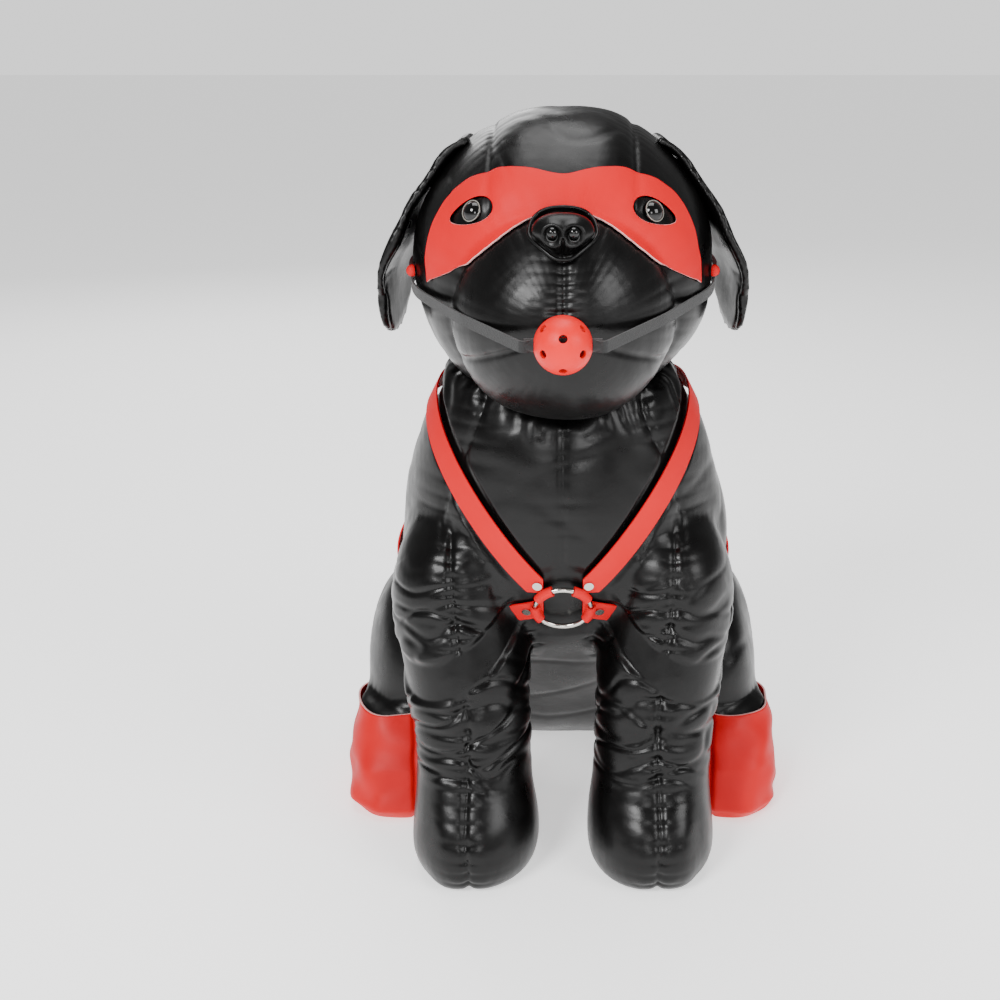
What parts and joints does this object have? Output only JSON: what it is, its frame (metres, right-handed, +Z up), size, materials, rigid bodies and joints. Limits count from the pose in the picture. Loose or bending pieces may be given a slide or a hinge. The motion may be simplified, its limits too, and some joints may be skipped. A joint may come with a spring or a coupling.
{
  "type": "sitting stuffed dog dummy",
  "caption": "Large sitting stuffed dog in black leather with hinged ears and tail, a red eye mask, a muzzle strap with a turning ball, a ring harness with buckles and red boots.",
  "frame": {"origin": "centre of the bounding box, on the floor", "axes": "+X is the dog's left, -Y is the way it faces, +Z is up"},
  "size_m": [0.4318, 0.5952, 0.673],
  "materials": {
    "black_leather": "soft semi-gloss",
    "red_leather": "semi-matte",
    "red_elastic": "matte",
    "black_elastic": "matte",
    "red_plastic": "satin",
    "black_plastic": "gloss",
    "white_plastic": "satin",
    "nickel": "polished nickel",
    "stuffing": "matte fibre"
  },
  "bodies": {
    "body": {"boot_left": "red_leather", "boot_right": "red_leather", "boot_sole_left": "red_leather", "boot_sole_right": "red_leather", "buckle_chapes": "red_leather", "buckle_frame_left": "nickel", "buckle_frame_right": "nickel", "chest_panel_left": "black_leather", "chest_panel_right": "black_leather", "eye_left": "black_plastic", "eye_right": "black_plastic", "eye_washers": "white_plastic", "foreleg_cover_left": "black_leather", "foreleg_cover_right": "black_leather", "foreleg_fill_left": "stuffing", "foreleg_fill_right": "stuffing", "girth_strap_left": "red_leather", "girth_strap_right": "red_leather", "harness_rivets": "nickel", "haunch_cover_left": "black_leather", "haunch_cover_right": "black_leather", "haunch_fill_left": "stuffing", "haunch_fill_right": "stuffing", "head_chin_panel": "black_leather", "head_crown_gusset": "black_leather", "head_fill": "stuffing", "head_side_left": "black_leather", "head_side_right": "black_leather", "hind_foot_left": "black_leather", "hind_foot_right": "black_leather", "mask": "red_leather", "mask_elastic": "red_elastic", "mask_knots": "red_leather", "muzzle_panel_left": "black_leather", "muzzle_panel_right": "black_leather", "muzzle_strap": "black_elastic", "nose": "black_leather", "nostrils": "black_plastic", "paw_sole_left": "black_leather", "paw_sole_right": "black_leather", "shoulder_strap_left": "red_leather", "shoulder_strap_right": "red_leather", "strap_end_loops": "red_leather", "torso_fill": "stuffing", "torso_seat": "black_leather", "torso_side_left": "black_leather", "torso_side_right": "black_leather"},
    "ear_left": {"ear_outer_left": "black_leather", "ear_lining_left": "black_leather"},
    "ear_right": {"ear_outer_right": "black_leather", "ear_lining_right": "black_leather"},
    "tail": {"tail_cover": "black_leather", "tail_fill": "stuffing"},
    "ball": {"ball": "red_plastic"},
    "front_ring": {"front_ring": "nickel"},
    "back_ring": {"back_ring": "nickel"},
    "prong_left": {"buckle_prong_left": "nickel"},
    "prong_right": {"buckle_prong_right": "nickel"}
  },
  "joints": [
    {"name": "ear_left_lift", "type": "hinge", "parent": "body", "child": "ear_left", "pos_m": [0.08966, -0.07713, 0.64409], "axis": [0, -1, 0], "range_deg": [0, 85]},
    {"name": "ear_right_lift", "type": "hinge", "parent": "body", "child": "ear_right", "pos_m": [-0.08966, -0.07713, 0.64409], "axis": [0, 1, 0], "range_deg": [0, 85]},
    {"name": "tail_wag", "type": "hinge", "parent": "body", "child": "tail", "pos_m": [0, 0.22051, 0.098], "axis": [0, 0, 1], "range_deg": [-24, 24], "stiffness_Nm_per_rad": 0.4},
    {"name": "ball_turn", "type": "hinge", "parent": "body", "child": "ball", "pos_m": [0, -0.2756, 0.511], "axis": [1, 0, 0], "continuous": true},
    {"name": "front_ring_turn", "type": "hinge", "parent": "body", "child": "front_ring", "pos_m": [0, -0.1584, 0.24857], "axis": [0.0007, -0.8951, -0.4458], "continuous": true},
    {"name": "back_ring_turn", "type": "hinge", "parent": "body", "child": "back_ring", "pos_m": [0, 0.07132, 0.35376], "axis": [0.0011, 0.8351, 0.55], "continuous": true},
    {"name": "prong_left_lift", "type": "hinge", "parent": "body", "child": "prong_left", "pos_m": [0.13851, 0.05711, 0.28479], "axis": [-0.077, 0.7087, -0.7013], "range_deg": [0, 110]},
    {"name": "prong_right_lift", "type": "hinge", "parent": "body", "child": "prong_right", "pos_m": [-0.13851, 0.05711, 0.28479], "axis": [-0.077, -0.7087, 0.7013], "range_deg": [0, 110]}
  ]
}
